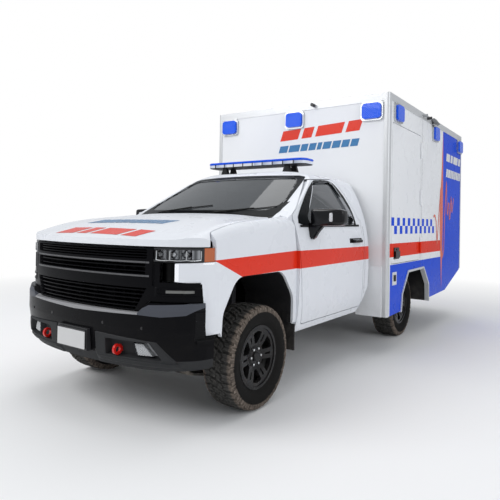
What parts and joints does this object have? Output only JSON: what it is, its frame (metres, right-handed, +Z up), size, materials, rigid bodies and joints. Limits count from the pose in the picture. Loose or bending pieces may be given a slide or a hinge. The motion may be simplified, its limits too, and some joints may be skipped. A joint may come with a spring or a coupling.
{
  "type": "pickup-based box ambulance",
  "caption": "Box-body ambulance on a single-cab pickup chassis with steering front wheels, hinged hood, cab, side, locker and rear doors.",
  "frame": {"origin": "on the ground under the middle of the whole vehicle", "axes": "+X to the vehicle's left, +Y to its back, +Z up"},
  "size_m": [2.65, 6.81, 2.9449],
  "materials": {
    "white_paint": "gloss white paint with a red stripe",
    "box_paint": "gloss white panel with red and blue livery",
    "trim_aluminium": "satin extrusion",
    "deck": "satin",
    "cabinet_white": "satin",
    "tinted_glass": "dark tint",
    "black_gloss": "gloss",
    "lamp_clear": "clear lens",
    "red_paint": "gloss",
    "plate_silver": "satin, blank",
    "black_steel": "satin",
    "cast_grey": "rough",
    "exhaust_steel": "dull",
    "black_plastic": "grained",
    "bezel_chrome": "satin chrome",
    "blue_lens": "clear blue",
    "red_lens": "clear red",
    "tread_aluminium": "chequer plate",
    "seat_fabric": "woven",
    "tyre": "dusty rubber",
    "rim_black": "gloss black"
  },
  "bodies": {
    "chassis": {"box_floor": "deck", "box_frame": "trim_aluminium", "box_front": "box_paint", "box_left": "box_paint", "box_rear": "box_paint", "box_right": "box_paint", "box_roof": "box_paint", "cab_glass": "tinted_glass", "cab_shell": "white_paint", "cabinets": "cabinet_white", "dashboard": "black_plastic", "engine": "cast_grey", "exhaust": "exhaust_steel", "frame": "black_steel", "front_bumper": "black_gloss", "front_fenders": "white_paint", "front_suspension": "black_steel", "fuel_tank": "black_plastic", "grille": "black_gloss", "headlamps": "lamp_clear", "light_bar": "blue_lens", "mudguards": "black_plastic", "number_plate": "plate_silver", "radiator": "black_steel", "rear_axle": "black_steel", "rear_step": "tread_aluminium", "roof_cameras": "black_plastic", "seats": "seat_fabric", "tail_lamps": "red_lens", "tow_hooks": "red_paint", "warning_lamps": "bezel_chrome", "warning_lenses": "blue_lens"},
    "hood": {"hood": "white_paint"},
    "door_left": {"door_left": "white_paint", "door_left_glass": "tinted_glass", "mirror_left": "black_gloss"},
    "door_right": {"door_right": "white_paint", "door_right_glass": "tinted_glass", "mirror_right": "black_gloss"},
    "rear_door_left": {"rear_door_left": "box_paint", "rear_door_left_glass": "tinted_glass"},
    "rear_door_right": {"rear_door_right": "box_paint", "rear_door_right_glass": "tinted_glass"},
    "locker_door": {"locker_door": "box_paint"},
    "side_door": {"side_door": "box_paint", "side_door_glass": "tinted_glass"},
    "knuckle_left": {"knuckle_left": "cast_grey"},
    "knuckle_right": {"knuckle_right": "cast_grey"},
    "wheel_front_left": {"tyre_front_left": "tyre", "rim_front_left": "rim_black"},
    "wheel_front_right": {"tyre_front_right": "tyre", "rim_front_right": "rim_black"},
    "wheel_rear_left": {"tyre_rear_left": "tyre", "rim_rear_left": "rim_black"},
    "wheel_rear_right": {"tyre_rear_right": "tyre", "rim_rear_right": "rim_black"}
  },
  "joints": [
    {"name": "steer_left", "type": "hinge", "parent": "chassis", "child": "knuckle_left", "pos_m": [0.77, -2.385, 0.407], "axis": [0, 0, 1], "range_deg": [-33, 33]},
    {"name": "wheel_front_left_spin", "type": "hinge", "parent": "knuckle_left", "child": "wheel_front_left", "pos_m": [0.8635, -2.385, 0.407], "axis": [1, 0, 0], "continuous": true},
    {"name": "wheel_rear_left_spin", "type": "hinge", "parent": "chassis", "child": "wheel_rear_left", "pos_m": [0.8635, 0.955, 0.407], "axis": [1, 0, 0], "continuous": true},
    {"name": "door_left_hinge", "type": "hinge", "parent": "chassis", "child": "door_left", "pos_m": [0.995, -1.695, 1.1], "axis": [0, 0, -1], "range_deg": [0, 68]},
    {"name": "rear_door_left_hinge", "type": "hinge", "parent": "chassis", "child": "rear_door_left", "pos_m": [0.679, 3.242, 1.8], "axis": [0, 0, -1], "range_deg": [0, 150]},
    {"name": "steer_right", "type": "hinge", "parent": "chassis", "child": "knuckle_right", "pos_m": [-0.77, -2.385, 0.407], "axis": [0, 0, 1], "range_deg": [-33, 33]},
    {"name": "wheel_front_right_spin", "type": "hinge", "parent": "knuckle_right", "child": "wheel_front_right", "pos_m": [-0.8635, -2.385, 0.407], "axis": [1, 0, 0], "continuous": true},
    {"name": "wheel_rear_right_spin", "type": "hinge", "parent": "chassis", "child": "wheel_rear_right", "pos_m": [-0.8635, 0.955, 0.407], "axis": [1, 0, 0], "continuous": true},
    {"name": "door_right_hinge", "type": "hinge", "parent": "chassis", "child": "door_right", "pos_m": [-0.995, -1.695, 1.1], "axis": [0, 0, 1], "range_deg": [0, 68]},
    {"name": "rear_door_right_hinge", "type": "hinge", "parent": "chassis", "child": "rear_door_right", "pos_m": [-0.679, 3.242, 1.8], "axis": [0, 0, 1], "range_deg": [0, 150]},
    {"name": "hood_hinge", "type": "hinge", "parent": "chassis", "child": "hood", "pos_m": [0, -2.135, 1.48], "axis": [-1, 0, 0], "range_deg": [0, 50]},
    {"name": "locker_door_hinge", "type": "hinge", "parent": "chassis", "child": "locker_door", "pos_m": [1.222, 0.974, 1.8], "axis": [0, 0, 1], "range_deg": [0, 110]},
    {"name": "side_door_hinge", "type": "hinge", "parent": "chassis", "child": "side_door", "pos_m": [-1.222, -0.074, 1.8], "axis": [0, 0, 1], "range_deg": [0, 110]}
  ],
  "couplings": [
    {"joint": "steer_right", "follows": "steer_left", "ratio": 1}
  ]
}
